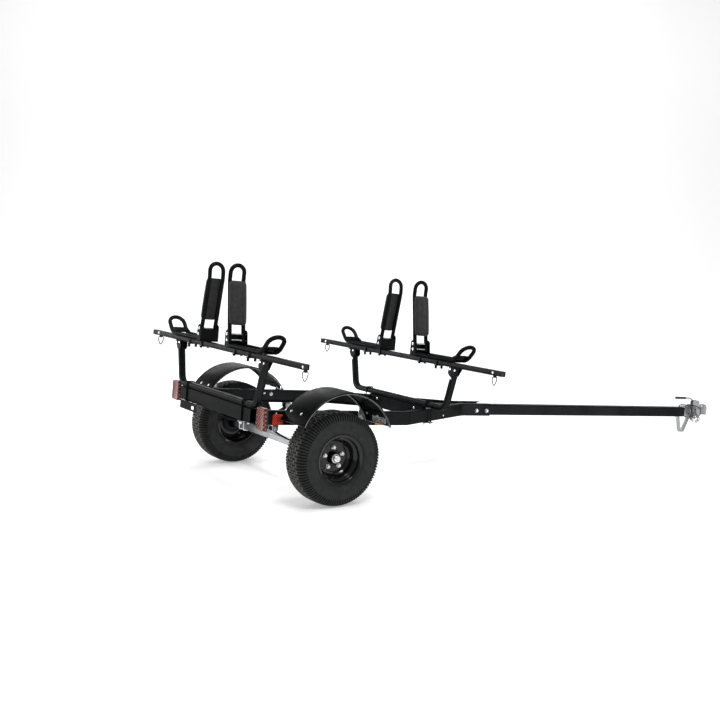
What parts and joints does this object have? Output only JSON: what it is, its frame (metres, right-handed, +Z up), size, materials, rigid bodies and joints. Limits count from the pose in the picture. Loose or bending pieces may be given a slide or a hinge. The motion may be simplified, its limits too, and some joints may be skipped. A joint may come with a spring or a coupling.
{
  "type": "kayak trailer",
  "caption": "Single-axle trailer with a long tongue, two crossbars and folding J cradles that carry kayaks on their sides.",
  "frame": {"origin": "middle of the bounding box at ground level", "axes": "+X forward to the coupler, +Y to the trailer's left, +Z up from the ground the tyres and the stand rest on"},
  "size_m": [4.2928, 1.981, 1.3043],
  "materials": {
    "galvanised_steel": "dull galvanised",
    "tyre_rubber": "matt",
    "rim_black_enamel": "gloss enamel",
    "bright_zinc": "bright zinc plated",
    "spring_steel": "satin black",
    "black_powder_coat": "satin powder coat",
    "cradle_rubber_coat": "fine textured black coat",
    "cradle_foam": "matt closed-cell foam",
    "red_lens": "faded red lens",
    "marker_red_lens": "bright red lens",
    "amber_lens": "amber lens"
  },
  "bodies": {
    "frame": {"leaf_spring_left": "spring_steel", "spring_hanger_rear_left": "galvanised_steel", "spring_hanger_front_left": "galvanised_steel", "leaf_spring_right": "spring_steel", "spring_hanger_rear_right": "galvanised_steel", "spring_hanger_front_right": "galvanised_steel", "side_rail_left": "black_powder_coat", "fender_left": "black_powder_coat", "support_ubolt_rear_left": "black_powder_coat", "support_ubolt_front_left": "black_powder_coat", "side_rail_right": "black_powder_coat", "fender_right": "black_powder_coat", "support_ubolt_rear_right": "black_powder_coat", "support_ubolt_front_right": "black_powder_coat", "cross_beam_rear": "black_powder_coat", "cross_beam_front": "black_powder_coat", "support_tube_rear": "black_powder_coat", "load_bar_rear": "black_powder_coat", "support_tube_front": "black_powder_coat", "load_bar_front": "black_powder_coat", "tongue_tube": "black_powder_coat", "coupler_body": "bright_zinc", "tongue_stand": "galvanised_steel", "safety_chain": "bright_zinc", "cradle_base_rear_left": "cradle_rubber_coat", "cradle_base_rear_right": "cradle_rubber_coat", "cradle_base_front_left": "cradle_rubber_coat", "cradle_base_front_right": "cradle_rubber_coat", "tail_lamp_bracket_left": "black_powder_coat", "tail_lamp_left": "red_lens", "side_marker_red_left": "marker_red_lens", "side_marker_amber_left": "amber_lens", "tail_lamp_bracket_right": "black_powder_coat", "tail_lamp_right": "red_lens", "side_marker_red_right": "marker_red_lens", "side_marker_amber_right": "amber_lens"},
    "axle": {"axle_beam": "galvanised_steel", "axle_clamp_left": "bright_zinc", "axle_clamp_right": "bright_zinc"},
    "wheel_left": {"tyre_left": "tyre_rubber", "rim_left": "rim_black_enamel", "hub_left": "bright_zinc", "dust_cap_left": "bright_zinc"},
    "wheel_right": {"tyre_right": "tyre_rubber", "rim_right": "rim_black_enamel", "hub_right": "bright_zinc", "dust_cap_right": "bright_zinc"},
    "arm_rear_left": {"cradle_arm_rear_left": "cradle_rubber_coat", "cradle_arm_pad_rear_left": "cradle_foam"},
    "ring_rear_left": {"tie_ring_rear_left": "black_powder_coat"},
    "arm_rear_right": {"cradle_arm_rear_right": "cradle_rubber_coat", "cradle_arm_pad_rear_right": "cradle_foam"},
    "ring_rear_right": {"tie_ring_rear_right": "black_powder_coat"},
    "arm_front_left": {"cradle_arm_front_left": "cradle_rubber_coat", "cradle_arm_pad_front_left": "cradle_foam"},
    "ring_front_left": {"tie_ring_front_left": "black_powder_coat"},
    "arm_front_right": {"cradle_arm_front_right": "cradle_rubber_coat", "cradle_arm_pad_front_right": "cradle_foam"},
    "ring_front_right": {"tie_ring_front_right": "black_powder_coat"},
    "latch_lever": {"coupler_latch_lever": "bright_zinc"}
  },
  "joints": [
    {"name": "suspension_travel", "type": "slide", "parent": "frame", "child": "axle", "axis": [0.0813, 0, 0.9967], "range_m": [-0.03, 0.05], "stiffness_N_per_m": 40000, "springref_m": -0.0208, "deforming": ["leaf_spring_left", "leaf_spring_right"]},
    {"name": "wheel_left_spin", "type": "hinge", "parent": "axle", "child": "wheel_left", "pos_m": [-1.69763, 0.629, 0.2605], "axis": [0, 1, 0], "continuous": true},
    {"name": "wheel_right_spin", "type": "hinge", "parent": "axle", "child": "wheel_right", "pos_m": [-1.69763, -0.629, 0.2605], "axis": [0, 1, 0], "continuous": true},
    {"name": "cradle_rear_left_fold", "type": "hinge", "parent": "frame", "child": "arm_rear_left", "pos_m": [-2.07471, 0.193, 0.87769], "axis": [-0.9967, 0, 0.0813], "range_deg": [0, 82]},
    {"name": "cradle_rear_right_fold", "type": "hinge", "parent": "frame", "child": "arm_rear_right", "pos_m": [-2.07471, -0.193, 0.87769], "axis": [0.9967, 0, -0.0813], "range_deg": [0, 82]},
    {"name": "cradle_front_left_fold", "type": "hinge", "parent": "frame", "child": "arm_front_left", "pos_m": [-0.80692, 0.193, 0.77431], "axis": [-0.9967, 0, 0.0813], "range_deg": [0, 82]},
    {"name": "cradle_front_right_fold", "type": "hinge", "parent": "frame", "child": "arm_front_right", "pos_m": [-0.80692, -0.193, 0.77431], "axis": [0.9967, 0, -0.0813], "range_deg": [0, 82]},
    {"name": "ring_rear_left_swing", "type": "hinge", "parent": "frame", "child": "ring_rear_left", "pos_m": [-2.08129, 0.8935, 0.79696], "axis": [0.9967, 0, -0.0813], "range_deg": [-75, 75]},
    {"name": "ring_rear_right_swing", "type": "hinge", "parent": "frame", "child": "ring_rear_right", "pos_m": [-2.08129, -0.9825, 0.79696], "axis": [0.9967, 0, -0.0813], "range_deg": [-75, 75]},
    {"name": "ring_front_left_swing", "type": "hinge", "parent": "frame", "child": "ring_front_left", "pos_m": [-0.8135, 0.9205, 0.69357], "axis": [0.9967, 0, -0.0813], "range_deg": [-75, 75]},
    {"name": "ring_front_right_swing", "type": "hinge", "parent": "frame", "child": "ring_front_right", "pos_m": [-0.8135, -0.9205, 0.69357], "axis": [0.9967, 0, -0.0813], "range_deg": [-75, 75]},
    {"name": "latch_lever_lift", "type": "hinge", "parent": "frame", "child": "latch_lever", "pos_m": [2.02335, 0, 0.21943], "axis": [0, 1, 0], "range_deg": [0, 80]}
  ]
}
